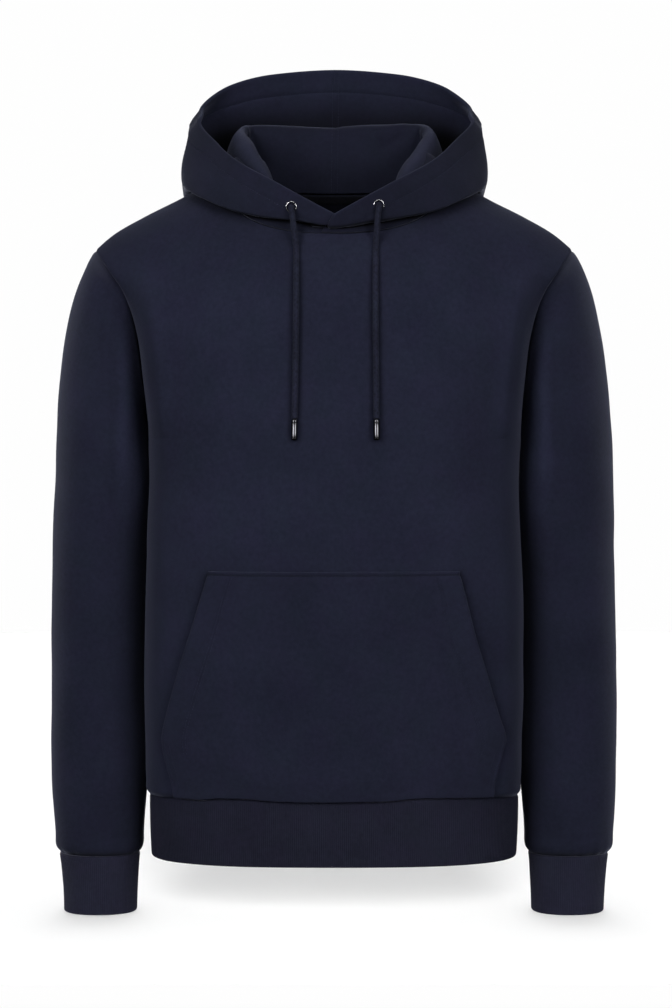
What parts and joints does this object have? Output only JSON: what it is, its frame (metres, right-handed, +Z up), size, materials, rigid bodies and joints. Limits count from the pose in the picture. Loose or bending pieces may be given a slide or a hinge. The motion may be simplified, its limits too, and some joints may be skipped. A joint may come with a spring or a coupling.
{
  "type": "pullover hoodie",
  "caption": "Worn-form pullover hoodie: hollow body and sleeves, rib cuffs and hem, hood laid back, kangaroo pocket, free drawcords with metal tips.",
  "frame": {"origin": "midway between the two high shoulder points, where the garment rests on the wearer's shoulders", "axes": "+Z up, the front faces -Y, +X towards the wearer's left"},
  "size_m": [0.5774, 0.2733, 0.873],
  "materials": {
    "fleece": "matte brushed-back cotton fleece, navy",
    "rib": "matte fine vertical rib knit, navy",
    "tape": "matte woven tape, dark navy",
    "cord": "matte round braided cord, navy",
    "nickel": "polished nickel plate",
    "gunmetal": "dark polished gunmetal"
  },
  "bodies": {
    "root": {"front_body": "fleece", "back_body": "fleece", "sleeve_left": "fleece", "sleeve_right": "fleece", "cuff_left": "rib", "cuff_right": "rib", "hem_band": "rib", "hood_left": "fleece", "hood_right": "fleece", "kangaroo_pocket": "fleece", "neck_tape": "tape", "eyelet_left": "nickel", "eyelet_right": "nickel", "drawcord_left": "cord", "drawcord_right": "cord", "aglet_left": "gunmetal", "aglet_right": "gunmetal"}
  },
  "joints": []
}
